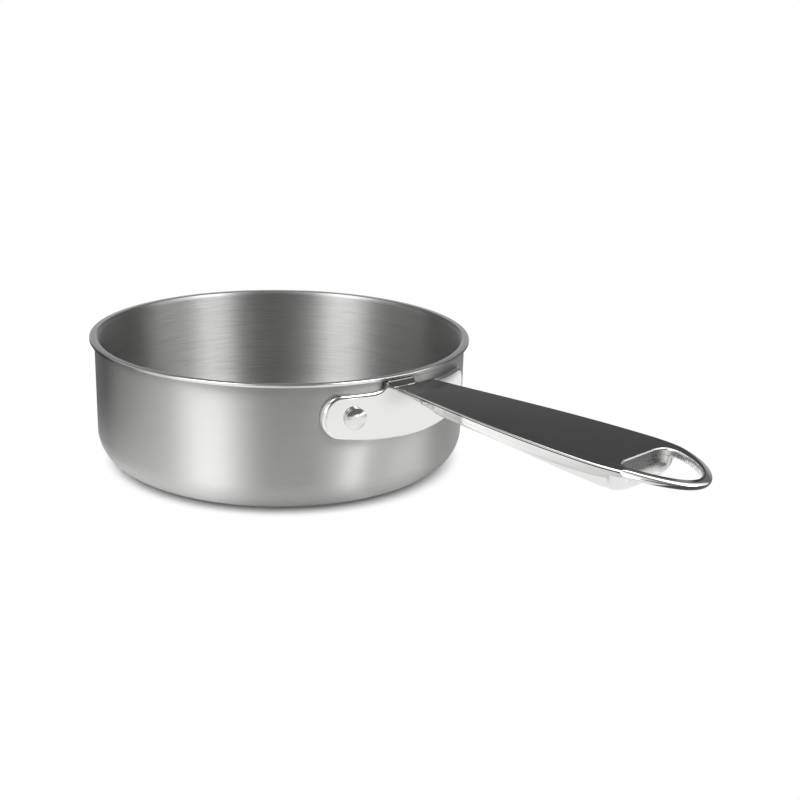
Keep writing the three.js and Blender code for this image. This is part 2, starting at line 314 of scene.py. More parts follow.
# the rail, painted dark underneath as shade
loopRailPaintedShade = railSteelPaintedShade("railSteelPaintedShade", (0.80, 0.80, 0.79), rough=0.06, dark=0.09, fade=(252, 270))
rivetSteel = polishedSteel("rivetSteel", (0.76, 0.76, 0.74), rough=0.10, seed=9.0)
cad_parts["aluminium_core"].data.materials.clear()
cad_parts["aluminium_core"].data.materials.append(rolledAluminium())
print("finishes made")


# outlines in millimetres

def curveArc(x, y, rx, ry, start, end, steps):
    turn = [math.radians(start + (end - start) * i / steps) for i in range(steps + 1)]
    return [Vector((x + rx * math.cos(a), y + ry * math.sin(a))) for a in turn]


def curveQuad(a, b, c, steps):
    a, b, c = Vector(a), Vector(b), Vector(c)
    shares = [i / steps for i in range(steps + 1)]
    return [a * (1 - t) ** 2 + b * 2 * t * (1 - t) + c * t * t for t in shares]


def curveCubic(a, b, c, d, steps):
    a, b, c, d = Vector(a), Vector(b), Vector(c), Vector(d)
    made = []
    for i in range(steps + 1):
        t = i / steps
        u = 1 - t
        made.append(a * u ** 3 + b * 3 * t * u ** 2 + c * 3 * t * t * u + d * t ** 3)
    return made


def clamped(value):
    return min(1.0, max(0.0, value))


# even spacing along a closed outline
def evenly(points, step):
    lengths = [0.0]
    closed = points + [points[0]]
    for a, b in zip(closed, closed[1:]):
        lengths.append(lengths[-1] + (b - a).length)
    count = round(lengths[-1] / step)
    made = []
    k = 0
    for i in range(count):
        want = lengths[-1] * i / count
        while lengths[k + 1] < want:
            k += 1
        span = lengths[k + 1] - lengths[k] or 1.0
        made.append(closed[k].lerp(closed[k + 1], (want - lengths[k]) / span))
    return made


# outward normals of a closed outline that runs anticlockwise, or into a hole that runs clockwise
def normals(points):
    count = len(points)
    made = []
    for i in range(count):
        along = points[(i + 1) % count] - points[i - 1]
        made.append(Vector((along.y, -along.x)).normalized())
    return made


touching = 1e-5  # points this close to a cut lie on it


# a body with rounded edges: each outline point has a section of (inset, height, tilt), front to back
def roundedBody(name, outlines, sections, cuts=(), place=None, capIndex=0, sideIndex=(0,)):
    mesh = bmesh.new()
    facing = mesh.verts.layers.float_vector.new("facing")
    fronts, backs = [], []
    for outline, sectionAt, index in zip(outlines, sections, sideIndex):
        rows = []
        for point, out in zip(outline, normals(outline)):
            row = []
            for inset, height, tilt in sectionAt(point):
                spot = point - out * inset
                vert = mesh.verts.new((spot.x, spot.y, height))
                side = math.sin(math.radians(tilt))
                vert[facing] = (out.x * side, out.y * side, math.cos(math.radians(tilt)))
                row.append(vert)
            rows.append(row)
        for i, row in enumerate(rows):
            after = rows[(i + 1) % len(rows)]
            for k in range(len(row) - 1):
                face = mesh.faces.new((row[k], row[k + 1], after[k + 1], after[k]))
                face.material_index = index
        fronts.append([row[0] for row in rows])
        backs.append([row[-1] for row in rows])
    for rings, turned in ((fronts, False), (backs, True)):
        flat = [vert for ring in rings for vert in ring]
        loops = [[Vector((vert.co.x, vert.co.y, 0)) for vert in ring] for ring in rings]
        for trio in tessellate_polygon(loops):
            corners = [flat[i] for i in trio]
            a, b, c = (vert.co for vert in corners)
            upward = (b.x - a.x) * (c.y - a.y) - (b.y - a.y) * (c.x - a.x) > 0
            if upward == turned:
                corners.reverse()
            face = mesh.faces.new(corners)
            face.material_index = 0 if turned else capIndex
    for cut in cuts:
        bmesh.ops.bisect_plane(
            mesh, geom=mesh.verts[:] + mesh.edges[:] + mesh.faces[:], dist=touching,
            plane_co=(cut, 0, 0), plane_no=(1, 0, 0),
        )
    aims = []
    for vert in mesh.verts:
        spot, aim = vert.co.copy(), Vector(vert[facing]).normalized()
        if place:
            spot, aim = place(spot, aim)
        vert.co = spot * mm
        aims.append(aim)
    made = bpy.data.meshes.new(name)
    mesh.to_mesh(made)
    mesh.free()
    made.attributes.remove(made.attributes["facing"])
    for polygon in made.polygons:
        polygon.use_smooth = True
    made.normals_split_custom_set_from_vertices(aims)
    return made


edgeSteps = 8  # facets across a rounded edge


# front edge, side and back edge of a section, each edge rounded by (inset, drop)
def edgeSection(top, bottom, front, back):
    rows = []
    turns = [math.pi / 2 * i / edgeSteps for i in range(edgeSteps + 1)]
    for t in turns:
        tilt = math.atan2(front[1] * math.sin(t), front[0] * math.cos(t))
        height = top - front[1] * (1 - math.cos(t))
        rows.append((front[0] * (1 - math.sin(t)), height, math.degrees(tilt)))
    for t in turns:
        tilt = math.atan2(back[1] * math.cos(t), back[0] * math.sin(t))
        height = bottom + back[1] * (1 - math.sin(t))
        rows.append((back[0] * (1 - math.cos(t)), height, 180 - math.degrees(tilt)))
    return rows


def addPiece(name, mesh, materials, slotName, *nodes):
    piece = bpy.data.objects.new(name, mesh)
    scene.collection.objects.link(piece)
    for material in materials:
        mesh.materials.append(material)
    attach(piece, "root")
    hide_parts(*nodes)
    return piece


# Geometry Nodes: a section turned about the Z axis

def newTree(name, inputs):
    tree = bpy.data.node_groups.new(name, "GeometryNodeTree")
    for label, kind in inputs:
        tree.interface.new_socket(label, in_out="INPUT", socket_type=kind)
    tree.interface.new_socket("Geometry", in_out="OUTPUT", socket_type="NodeSocketGeometry")
    wire = Wire(tree)
    return tree, wire, wire.add("NodeGroupInput")


# what every tree ends in
def closeTree(wire, geometry, material):
    whole = wire.add("GeometryNodeRealizeInstances", {}, {"Geometry": geometry})
    finished = wire.add("GeometryNodeSetMaterial", {}, {"Geometry": whole, "Material": material})
    wire.add("NodeGroupOutput", {}, {"Geometry": finished})


weld = 1e-6  # points this close are one, in metres


def turnedTree():
    tree, wire, given = newTree("turnedSection", [
        ("Section", "NodeSocketGeometry"), ("Steps", "NodeSocketInt"), ("Material", "NodeSocketMaterial"),
    ])
    section = given.output("Section")
    steps = given.output("Steps")
    count = wire.add("GeometryNodeAttributeDomainSize", {"component": "MESH"}, {"Geometry": section})
    grid = wire.add("GeometryNodeMeshGrid", {}, {
        "Size X": 1.0, "Size Y": 1.0, "Vertices X": count, "Vertices Y": steps + 1,
    })
    at = wire.add("ShaderNodeSeparateXYZ", {}, {"Vector": wire.add("GeometryNodeInputPosition")})
    row = wire.math("ROUND", (at + 0.5) * (count - 1))
    turn = (at.output("Y") + 0.5) * (2 * math.pi)
    spot = wire.add("GeometryNodeSampleIndex", {"data_type": "FLOAT_VECTOR", "domain": "POINT"}, {
        "Geometry": section, "Value": wire.add("GeometryNodeInputPosition"), "Index": row,
    })
    part = wire.add("ShaderNodeSeparateXYZ", {}, {"Vector": spot})
    moved = wire.add("ShaderNodeCombineXYZ", {}, {
        "X": part * wire.math("COSINE", turn), "Y": part * wire.math("SINE", turn), "Z": part.output("Z"),
    })
    placed = wire.add("GeometryNodeSetPosition", {}, {"Geometry": grid, "Position": moved})
    merged = wire.add("GeometryNodeMergeByDistance", {}, {"Geometry": placed, "Distance": weld})
    flipped = wire.add("GeometryNodeFlipFaces", {}, {"Mesh": merged})
    smooth = wire.add("GeometryNodeSetShadeSmooth", {}, {"Geometry": flipped})
    closeTree(wire, smooth, given.output("Material"))
    return tree


# a turned section set on the wall at an angle to each side of the handle
def rivetTree(turned):
    tree, wire, given = newTree("wallRivets", [
        ("Section", "NodeSocketGeometry"), ("Steps", "NodeSocketInt"), ("Material", "NodeSocketMaterial"),
        ("Left", "NodeSocketFloat"), ("Right", "NodeSocketFloat"), ("Height", "NodeSocketFloat"),
    ])
    passed = {name: given.output(name) for name in ("Section", "Steps", "Material")}
    one = wire.add("GeometryNodeGroup", {"node_tree": turned}, passed)
    left = given.output("Left")
    side = left + wire.add("GeometryNodeInputIndex") * (given.output("Right") - left)
    points = wire.add("GeometryNodePoints", {}, {
        "Count": 2, "Position": wire.add("ShaderNodeCombineXYZ", {}, {"Z": given.output("Height")}),
    })
    turn = wire.add("ShaderNodeCombineXYZ", {}, {"Y": math.pi / 2, "Z": side})
    pair = wire.add("GeometryNodeInstanceOnPoints", {}, {
        "Points": points, "Instance": one, "Rotation": turn,
    })
    closeTree(wire, pair, given.output("Material"))
    return tree


# runs a tree on a section of (radius, height) points and keeps the result as a plain mesh
def grown(name, section, tree, inputs):
    line = bpy.data.meshes.new(name)
    edges = [(i, i + 1) for i in range(len(section) - 1)]
    line.from_pydata([(r * mm, 0, z * mm) for r, z in section], edges, [])
    carrier = bpy.data.objects.new(name + "Section", line)
    scene.collection.objects.link(carrier)
    modifier = carrier.modifiers.new("turn", "NODES")
    modifier.node_group = tree
    for item in tree.interface.items_tree:
        if item.in_out == "INPUT" and item.name in inputs:
            modifier[item.identifier] = inputs[item.name]
    graph = bpy.context.evaluated_depsgraph_get()
    mesh = bpy.data.meshes.new_from_object(carrier.evaluated_get(graph), depsgraph=graph)
    carrier.modifiers.remove(modifier)
    bpy.data.objects.remove(carrier)
    mesh.name = name
    return mesh


turnedSection = turnedTree()
wallRivets = rivetTree(turnedSection)

# pan: two steel plies that meet in the lip

pan = {
    "height": 69.3,
    "wall": 101.5,
    "corner": 17.5,
    "ply": 0.5,
    "thickness": 2.6,
    "lip": 104.0,
    "lipBend": 1.0,
    "lipEdge": 0.1,
    "lipCurl": 0.5,  # the outer ply's edge is turned down by this
    "curlWidth": (0.7, 0.8),  # at its lower edge and at its root
    "lipRound": 0.45,
    "rimRound": 1.5,  # bend behind the lip
    "rimFace": 2.2,  # and the round that shows
    "lipDepth": 4.0,  # the outer ply's lip lies within this depth
    "paintedShadeFrom": 0.05,  # its underside, painted dark as shade, starts this far out from the wall
    "brightEdge": 0.05,  # and the outermost of its edge is polished
    "rimDepth": 1.6,  # the liner is polished within this depth
    "rimFrom": 1.3,  # and from this far outside its inner face
    "sharp": 60.0,  # edges at this angle and above stay sharp
    "steps": 256,
}

# rows beside the rounds, which keep the stretches between them flat
margin = {"wall": 0.5, "round": 0.4, "flat": 0.15, "edge": 0.05}


def roundPath(x, y, radius, start, end, steps):
    return [tuple(p) for p in curveArc(x, y, radius, radius, start, end, steps)]


def panCurve(inset):
    radius = pan["wall"] - inset
    corner = pan["corner"] - inset
    middle = radius - corner
    curve = [(0, inset), (middle * 0.5, inset), (middle - margin["round"], inset)]
    curve += roundPath(middle, pan["corner"], corner, -90, 0, steps=16)
    return curve + [(radius, pan["corner"] + margin["wall"])]


def outerSection():
    lip, ply, edge = pan["lip"], pan["ply"], pan["lipEdge"]
    half = pan["height"] - ply
    under = half - ply
    low = under - pan["lipCurl"]
    narrow, wide = pan["curlWidth"]
    bendX, bendZ = pan["wall"] + pan["lipBend"], under - pan["lipBend"]
    section = panCurve(0) + [(pan["wall"], bendZ - margin["wall"])]
    section += roundPath(bendX, bendZ, pan["lipBend"], 180, 90, steps=5)
    section += [(lip - wide, under), (lip - narrow, low)]
    section += roundPath(lip - edge, low + edge, edge, -90, 0, steps=4)
    section += [(lip, low + edge + margin["edge"]), (lip, half)]
    section += roundPath(bendX, bendZ, pan["lipBend"] + ply, 90, 180, steps=4)
    return section + panCurve(ply)[::-1]


def linerSection():
    height, lip, ply = pan["height"], pan["lip"], pan["ply"]
    bend, face, edge = pan["rimRound"], pan["rimFace"], pan["lipRound"]
    inside = pan["wall"] - pan["thickness"]
    section = panCurve(pan["thickness"] - ply)
    section += roundPath(inside + bend, height - bend, bend - ply, 180, 90, steps=4)
    section += [(lip, height - ply)]
    section += roundPath(lip - edge, height - edge, edge, 0, 90, steps=4)
    section += [(lip - edge - margin["flat"], height), (inside + face + margin["flat"], height)]
    section += roundPath(inside + face, height - face, face, 90, 180, steps=8)
    section += [(inside, height - face - margin["round"])]
    return section + panCurve(pan["thickness"])[::-1]


# faces of the lip take a finish of their own, polish or a painted shade
def finishLip(mesh, material, inner, depth):
    mesh.materials.append(material)
    for polygon in mesh.polygons:
        spot = polygon.center / mm
        if spot.z > pan["height"] - depth and math.hypot(spot.x, spot.y) > inner:
            polygon.material_index = len(mesh.materials) - 1
    mesh.set_sharp_from_angle(angle=math.radians(pan["sharp"]))


def turnedPly(name, section, material):
    return grown(name, section, turnedSection, {"Steps": pan["steps"], "Material": material})


outerMesh = turnedPly("outerShell", outerSection(), wallSteel)
# the outer ply's underside and lower edge are painted dark as shade
finishLip(outerMesh, paintedShade, pan["wall"] + pan["paintedShadeFrom"], pan["lipDepth"])
finishLip(outerMesh, lipSteel, pan["lip"] - pan["brightEdge"], pan["lipDepth"])
addPiece("outerShell", outerMesh, (), "outer_steel", "outer_shell")
linerMesh = turnedPly("innerLiner", linerSection(), insideSteel)
finishLip(linerMesh, lipSteel, pan["wall"] - pan["thickness"] + pan["rimFrom"], pan["rimDepth"])
addPiece("innerLiner", linerMesh, (), "inner_steel", "inner_liner")
print("pan made")

# bracket plate, bent round the wall

plate = {
    "back": 101.8,
    "face": 104.3,
    "top": 62.6,
    "bottom": 35.8,
    "halfWidth": 49.8,
    "wingHeight": 22.8,
    "wingRound": 8.3,
    "tongueTop": 67.4,
    "tongueLeft": -17.6,
    "tongueRight": -0.2,
    "tongueCorner": 0.8,
    "tongueRise": 2.5,  # its edge turns fine over this height
    "tongueShadeFrom": 1.0,  # its painted shade starts this far above the top
    "sweep": 8.5,
    "sweepTop": 66.8,
    "edgeInset": 2.0,
    "edgeDepth": 1.9,
    "tongueEdge": 0.7,
    "backRound": 0.3,
    "step": 0.7,
    "bendStep": 1.2,
}


def plateOutline():
    p = plate
    top, sweep, sweepTop = p["top"], p["sweep"], p["sweepTop"]
    right, left = p["tongueRight"], p["tongueLeft"]
    high, corner = p["tongueTop"], p["tongueCorner"]
    wing, half = p["halfWidth"] - p["wingRound"], p["wingHeight"] / 2
    low = top - p["wingHeight"]
    sag = 2 * p["bottom"] - low
    points = curveQuad((-wing, low), (0, sag), (wing, low), steps=40)
    points += curveArc(wing, top - half, p["wingRound"], half, -90, 90, steps=30)[1:]
    points += curveQuad((right + sweep, top), (right, top), (right, sweepTop), steps=14)
    points += curveQuad((right, sweepTop), (right, high), (right - corner, high), steps=4)[1:]
    points += curveQuad((left + corner, high), (left, high), (left, sweepTop), steps=4)
    points += curveQuad((left, sweepTop), (left, top), (left - sweep, top), steps=14)[1:]
    points += curveArc(-wing, top - half, p["wingRound"], half, 90, 270, steps=30)[:-1]
    return evenly(points, p["step"])


def plateSection(point):
    p = plate
    rise = clamped((point.y - p["top"]) / p["tongueRise"])
    inset = p["edgeInset"] + (p["tongueEdge"] - p["edgeInset"]) * rise
    depth = p["edgeDepth"] + (p["tongueEdge"] - p["edgeDepth"]) * rise
    return edgeSection(p["face"], p["back"], (inset, depth), (p["backRound"], p["backRound"]))


# (across, up, reach) to the wall's curve
def onWall(spot, aim):
    across, up, reach = spot
    out = math.sqrt(reach * reach - across * across)
    c, s = out / reach, across / reach
    return Vector((out, across, up)), Vector((aim.z * c - aim.x * s, aim.z * s + aim.x * c, aim.y))


def plateCuts():
    count = int(2 * plate["halfWidth"] / plate["bendStep"])
    return [-plate["halfWidth"] + plate["bendStep"] * (i + 0.5) for i in range(count)]


plateMesh = roundedBody("bracketPlate", [plateOutline()], [plateSection], plateCuts(), onWall)
# the tongue takes the second finish, a painted shade
for polygon in plateMesh.polygons:
    if polygon.center.z / mm > plate["top"] + plate["tongueShadeFrom"]:
        polygon.material_index = 1
addPiece("bracketPlate", plateMesh, (plateSteel, tongueSteelPaintedShade), "plate_steel", "handle_plate")
print("plate made")

# handle bar with its loop, and the shell below it

handle = {
    "root": 104.3,
    "shoulder": 104.6,
    "tip": 273.4,
    "top": 63.6,
    "barUnder": 60.4,
    "sideUnder": 58.1,
    "rootUnder": 61.4,
    "sweepFrom": 112.3,
    "sweepTo": 140.3,
    "rootHalf": 12.6,
    "loopHalf": 24.7,
    "loopLength": 44.2,
    "loopSide": 6.1,
    "loopEnd": 4.2,
    "loopDroop": 2.8,
    "holeSetback": 11.2,
    "holeCorner": 8.0,
    "flareAt": 0.32,
    "flareShare": 0.40,
    "settleAt": 0.36,
    "edge": 0.6,
    "lowEdge": 0.05,
    "shadeLine": (0.15, 0.65),  # painted shade line along the sides, below the round of the top edge
    "shadeLineLimit": (0.3, 0.6),  # at most these shares of the side's height
    "railFrom": 246.0,
    "railTo": 247.2,
    "railShare": 0.66,  # of the rail's width that its outer round takes
    "railTaper": 4,  # power of the rail's narrowing to the tip
    "railHigh": 3.1,
    "railLow": (0.8, 1.8),  # lower round of the rail, at its start and at the tip
    "railLowDelay": 4.0,
    "railLowPower": 0.7,
    "rimRound": 0.9,
    "holeLow": 0.3,
    "nearRim": 2.0,  # this far into the hole, its near rim takes the top's painted dark reflection
    "nearSlope": 0.05,
    "wallSlope": 0.5,  # faces of the hole below this upward slope are its walls
    "shadeLineSlope": 0.02,
    "step": 0.8,
}
loopStart = handle["tip"] - handle["loopLength"]
holeStart = loopStart + handle["holeSetback"]
# half axes of the ellipse along the hole's sides, half its straight end, and where its corners' rounds end
holeLong = handle["loopLength"] - handle["loopEnd"]
holeHalf = handle["loopHalf"] - handle["loopSide"]
cornerY = holeHalf * math.sin(math.acos(handle["holeSetback"] / holeLong))
joinTurn = math.acos((handle["holeSetback"] + handle["holeCorner"]) / holeLong)
joinY = holeHalf * math.sin(joinTurn)
join = Vector((loopStart + holeLong * math.cos(joinTurn), joinY))


def handleSides():
    h = handle
    span = loopStart - h["shoulder"]
    flare, settle = h["shoulder"] + span * h["flareAt"], loopStart - span * h["settleAt"]
    flareHalf = h["rootHalf"] + (h["loopHalf"] - h["rootHalf"]) * h["flareShare"]
    start, end = (h["shoulder"], h["rootHalf"]), (loopStart, h["loopHalf"])
    return curveCubic(start, (flare, flareHalf), (settle, h["loopHalf"]), end, steps=90)


def mirrored(points):
    return [Vector((p.x, -p.y)) for p in points]


def barOutline():
    h = handle
    far = handleSides()
    reach = math.degrees(math.asin(h["rootHalf"] / h["root"]))
    rootArc = curveArc(0, 0, h["root"], h["root"], reach, -reach, steps=24)
    loop = curveArc(loopStart, 0, h["loopLength"], h["loopHalf"], -90, 90, steps=120)
    return evenly(mirrored(far) + loop[1:-1] + far[::-1] + rootArc[1:-1], h["step"])


def holeOutline():
    corner, turn = handle["holeCorner"], math.degrees(joinTurn)
    tip = curveArc(loopStart, 0, holeLong, holeHalf, turn, -turn, steps=80)
    near = curveQuad((join.x, -join.y), (holeStart, -cornerY), (holeStart, corner - cornerY), steps=16)
    far = curveQuad((holeStart, cornerY - corner), (holeStart, cornerY), join, steps=16)
    return evenly(tip + near[1:] + far[:-1], handle["step"])


def droop(x):
    share = max(0.0, (x - holeStart) / (handle["tip"] - holeStart))
    return handle["loopDroop"] * share * share


# lower edge of the handle's sides, thin at the root
def underAt(x):
    h = handle
    share = clamped((x - h["sweepFrom"]) / (h["sweepTo"] - h["sweepFrom"]))
    ease = share * share * (3 - 2 * share)
    return h["rootUnder"] + (h["sideUnder"] - h["rootUnder"]) * ease


def barSection(point):
    h = handle
    end = h["railTo"] if point.y < 0 else h["tip"]
    share = clamped((point.x - h["railFrom"]) / (end - h["railFrom"]))
    reach = clamped((point.x - loopStart) / h["loopLength"])
    wide = h["railShare"] * (h["loopSide"] + (h["loopEnd"] - h["loopSide"]) * reach ** h["railTaper"])
    inset = h["edge"] + (wide - h["edge"]) * share
    delay = h["railLowDelay"]
    grow = clamped((point.x - h["railTo"] - delay) / (h["tip"] - h["railTo"] - delay))
    under = h["railLow"][0] + (h["railLow"][1] - h["railLow"][0]) * grow ** h["railLowPower"]
    drop = h["edge"] + (h["railHigh"] - under - h["edge"]) * share
    low = h["lowEdge"] + (under - h["lowEdge"]) * share
    down = droop(point.x)
    bottom = max(h["barUnder"], underAt(point.x))
    rows = edgeSection(h["top"] - down, bottom - down, (inset, drop), (low, low))
    side = edgeSteps + 1  # the straight side runs down to this row
    high, deep = rows[side - 1][1], rows[side][1]
    for place, (line, limit) in enumerate(zip(h["shadeLine"], h["shadeLineLimit"])):
        rows.insert(side + place, (0.0, high - min(line, (high - deep) * limit), 90.0))
    return rows


def holeSection(point):
    h = handle
    down = droop(point.x)
    rim, low = h["rimRound"], h["holeLow"]
    return edgeSection(h["top"] - down, h["barUnder"] - down, (rim, rim), (low, low))


barFinish = {
    "side": handleSteel,
    "top": topSteelPaintedDarkReflection,
    "rim": rimSteel,
    "hole": holeSteelPaintedShade,
    "rail": loopRailPaintedShade,
    "shadeLine": paintedShade,
}
barIndex = {name: place for place, name in enumerate(barFinish)}


# the hole's walls and near rim, the loop's rail and the side line take finishes of their own; the near rim,
# the rail's underside and the side line are painted dark as shade
def finishBar(mesh):
    h = handle
    for polygon in mesh.polygons:
        x, up = polygon.center.x / mm, polygon.normal.z
        below = h["top"] - h["edge"] - polygon.center.z / mm
        if polygon.material_index == barIndex["rim"]:
            if abs(up) < h["wallSlope"]:
                polygon.material_index = barIndex["hole"]
            # the near rim is painted dark with the top's finish
            elif up > 0 and polygon.normal.y > h["nearSlope"] and x > holeStart + h["nearRim"]:
                polygon.material_index = barIndex["top"]
        elif polygon.material_index == barIndex["side"]:
            if x > h["railTo"]:
                polygon.material_index = barIndex["rail"]
            elif x < h["railFrom"] and abs(up) < h["shadeLineSlope"] and h["shadeLine"][0] < below < h["shadeLine"][1]:
                polygon.material_index = barIndex["shadeLine"]


# the top cap takes the painted dark reflection
barMesh = roundedBody(
    "handleBar", [barOutline(), holeOutline()], [barSection, holeSection],
    capIndex=barIndex["top"], sideIndex=(barIndex["side"], barIndex["rim"]),
)
finishBar(barMesh)
addPiece("handleBar", barMesh, barFinish.values(), "handle_steel", "handle_top")

# lower shell: straight sides, then a belly that deepens to a rounded nose, open above it in the hole

shell = {
    "bellyFrom": 150.3,
    "belly": 7.6,
    "edge": 0.8,
    "edgeLimit": 0.8,  # at most this share of the side's height
    "square": 3.0,  # power of the section at the nose, where 2 is an ellipse
    "rootSquare": 8.0,
    "noseReach": 6.0,
    "noseEnd": 0.885,
    "noseTop": 57.0,
    "noseDrop": 2.5,
    "pocketShare": 0.9,  # of the nose's width that the pocket takes at its end
    "pocketGap": 0.1,
    "pocketSlope": 0.1,
    "thinnest": 0.02,  # the shell starts where it is this high
    "seek": 0.05,
    "holeGap": 0.01,
    "sharp": 35.0,
    "bodySteps": 60,
    "noseSteps": 24,
    "noseFrom": 6,  # rings before this step follow the hole's corner
    "roundSteps": 48,
}


def halfAt(x):
    points = handleSides()
    for a, b in zip(points, points[1:]):
        if x <= b.x:
            return a.y + (b.y - a.y) * (x - a.x) / (b.x - a.x)
    share = (x - loopStart) / handle["loopLength"]
    return handle["loopHalf"] * math.sqrt(max(0.0, 1 - share * share))


def holeHalfAt(x):
    corner = handle["holeCorner"]
    t = math.sqrt(clamped((x - holeStart) / corner))
    return (cornerY - corner) * (1 - t) ** 2 + cornerY * 2 * t * (1 - t) + joinY * t * t


# ring of (across, height): one side's top, round the belly, the other side's top, then the pocket
def shellRing(x, past):
    s = shell
    share = clamped((x - s["bellyFrom"]) / (holeStart - s["bellyFrom"]))
    power = s["rootSquare"] + (s["square"] - s["rootSquare"]) * share
    nose = math.sqrt(1 - past * past)
    half = halfAt(min(x, holeStart)) * nose
    top = handle["barUnder"] - droop(x)
    edge = min(s["edge"], (handle["barUnder"] - underAt(x)) * s["edgeLimit"])
    side = underAt(x) + edge
    depth = (edge + s["belly"] * share * share) * nose
    inHole = holeHalfAt(x)
    floorZ = top
    if x >= holeStart:
        floorZ = s["noseTop"] - s["noseDrop"] * past * past
    widest = half
    if half < inHole:
        top = floorZ
        widest = half * max(0.0, 1 - ((side - floorZ) / depth) ** power) ** (1 / power)
        inHole = widest * s["pocketShare"]
    ring = [(widest, top)]
    for i in range(s["roundSteps"] + 1):
        a = math.pi * i / s["roundSteps"]
        across = half * abs(math.cos(a)) ** (2 / power)
        across = math.copysign(min(widest, across), math.cos(a))
        ring.append((across, min(top, side - depth * math.sin(a) ** (2 / power))))
    return ring + [(-widest, top), (-inHole, top), (-inHole, floorZ), (inHole, floorZ), (inHole, top)]


def shellStart():
    x = handle["sweepFrom"]
    while underAt(x) > handle["barUnder"] - shell["thinnest"]:
        x += shell["seek"]
    return x


# (x, share of a full nose) of each ring: along the body, round the hole's corner, to the nose's end
def shellStations():
    s = shell
    start = shellStart()
    length = holeStart - s["holeGap"] - start
    stations = [(start + length * i / s["bodySteps"], 0.0) for i in range(s["bodySteps"] + 1)]
    steps = s["noseSteps"]
    corner = [handle["holeCorner"] / s["noseReach"] * (i / steps) ** 2 for i in range(steps)]
    nose = [s["noseEnd"] * math.sin(math.pi / 2 * i / steps) for i in range(s["noseFrom"], steps + 1)]
    for past in [v for v in corner if v < nose[0]] + nose:
        stations.append((holeStart + s["noseReach"] * past, past))
    return stations


shellFinish = {"side": handleSteel, "wall": holeSteelPaintedShade, "floor": rimSteel}
shellIndex = {name: place for place, name in enumerate(shellFinish)}


def shellMesh():
    s = shell
    mesh = bmesh.new()
    rows = []
    for x, past in shellStations():
        rows.append([mesh.verts.new((x * mm, y * mm, z * mm)) for y, z in shellRing(x, past)])
    for row, after in zip(rows, rows[1:]):
        for k in range(len(row)):
            j = (k + 1) % len(row)
            mesh.faces.new((row[k], row[j], after[j], after[k]))
    mesh.faces.new(rows[0][::-1])
    mesh.faces.new(rows[-1])
    bmesh.ops.remove_doubles(mesh, verts=mesh.verts[:], dist=2 * weld)
    bmesh.ops.recalc_face_normals(mesh, faces=mesh.faces[:])
    for face in mesh.faces:
        face.smooth = True
        spot = face.calc_center_median() / mm
        inHole = spot.x > holeStart - 2 * s["holeGap"] and abs(spot.y) < holeHalfAt(spot.x) + s["pocketGap"]
        if inHole and face.normal.z > -s["pocketSlope"]:
            face.material_index = shellIndex["floor" if face.normal.z > handle["wallSlope"] else "wall"]
    made = bpy.data.meshes.new("lowerShell")
    mesh.to_mesh(made)
    mesh.free()
    made.set_sharp_from_angle(angle=math.radians(s["sharp"]))
    return made


addPiece("lowerShell", shellMesh(), shellFinish.values(), "shell_steel", "handle_shell")
print("handle made")

# rivets: a straight-sided head with a shallow dome outside, a low head inside

rivet = {
    "left": -19.6,
    "right": 15.5,
    "height": 50.9,
    "head": 5.7,
    "seat": 104.0,
    "sideTop": 105.7,
    "edge": 0.35,
    "sideMargin": 0.4,  # row beside the edge's round
    "crown": 26.0,  # slope of the dome where it leaves the edge, in degrees
    "shank": 2.5,
    "innerHead": 5.5,
    "innerHeight": 1.6,
    "innerSeat": 98.9,
    "innerBrim": 0.5,
    "innerSteps": 12,
    "steps": 64,
}


def rivetSection():
    v = rivet
    brim, steps = v["innerBrim"], v["innerSteps"]
    inner = []
    for a in (math.radians(90 * i / steps) for i in range(steps + 1)):
        height = v["innerSeat"] - brim - (v["innerHeight"] - brim) * math.cos(a)
        inner.append((v["innerHead"] * math.sin(a), height))
    edge = roundPath(v["head"] - v["edge"], v["sideTop"], v["edge"], 0, 90 - v["crown"], steps=5)
    radius = edge[-1][0] / math.sin(math.radians(v["crown"]))
    middle = edge[-1][1] - radius * math.cos(math.radians(v["crown"]))
    dome = roundPath(0, middle, radius, 90 - v["crown"], 90, steps=10)[1:]
    inner[0] = (0.0, inner[0][1])
    dome[-1] = (0.0, dome[-1][1])
    shank = [(v["innerHead"], v["innerSeat"]), (v["shank"], v["innerSeat"]), (v["shank"], v["seat"])]
    side = [(v["head"], v["seat"]), (v["head"], v["sideTop"] - v["sideMargin"])]
    return inner + shank + side + edge + dome


rivetMesh = grown("rivets", rivetSection(), wallRivets, {
    "Steps": rivet["steps"],
    "Material": rivetSteel,
    "Left": math.radians(rivet["left"]),
    "Right": math.radians(rivet["right"]),
    "Height": rivet["height"] * mm,
})
addPiece("rivets", rivetMesh, (), "rivet_steel", "rivet_left", "rivet_right")
print("rivets made")

# stage: white floor, a dome of studio light that only the metal shows, a lamp for the shadow

